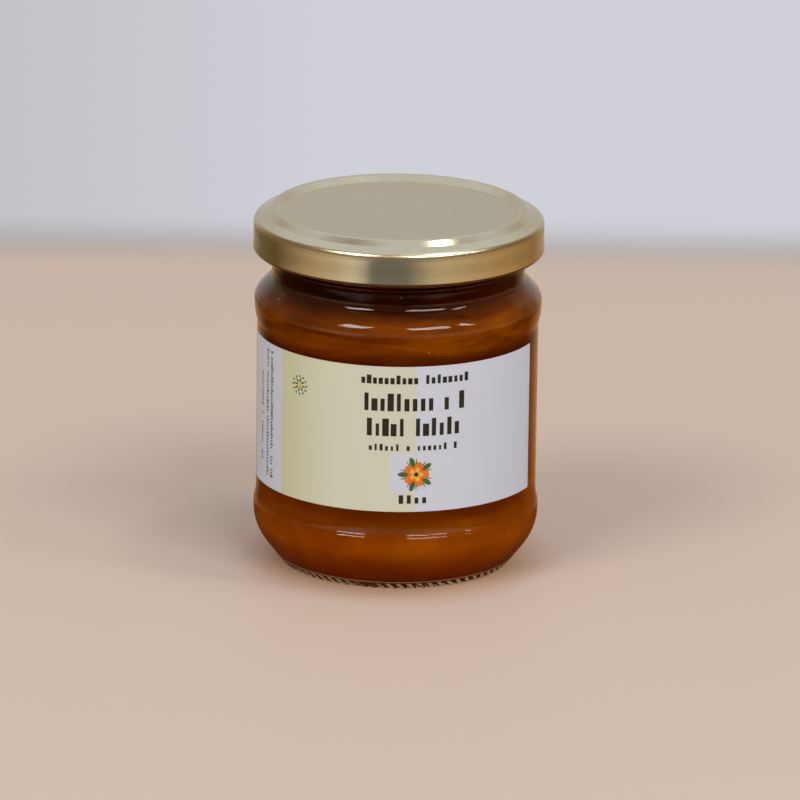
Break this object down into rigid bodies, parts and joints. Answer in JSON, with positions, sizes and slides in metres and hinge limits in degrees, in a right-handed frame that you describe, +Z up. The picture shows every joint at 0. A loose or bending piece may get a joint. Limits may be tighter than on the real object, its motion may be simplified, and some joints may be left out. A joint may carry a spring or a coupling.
{
  "type": "jar of apricot jam",
  "caption": "Small round glass jar filled with dark amber apricot jam, closed with a gold twist-off lid and wrapped with a plain two-tone paper label.",
  "frame": {"origin": "middle of the foot ring, on the plane that the jar stands on", "axes": "+Z up along the jar's axis; the label's front faces -Y; +X is to the right of someone who reads it"},
  "size_m": [0.0564, 0.0564, 0.0706],
  "materials": {
    "clear_glass": "clear, polished",
    "apricot_jam": "translucent set jam, seen wet against the glass",
    "gold_lacquered_tinplate": "gold lacquer over tinplate, satin panel and glossier skirt",
    "label_paper": "smooth coated paper, printed cream and pale lilac"
  },
  "bodies": {
    "root": {"glass_jar": "clear_glass", "jam": "apricot_jam", "lid": "gold_lacquered_tinplate", "label": "label_paper"}
  },
  "joints": []
}
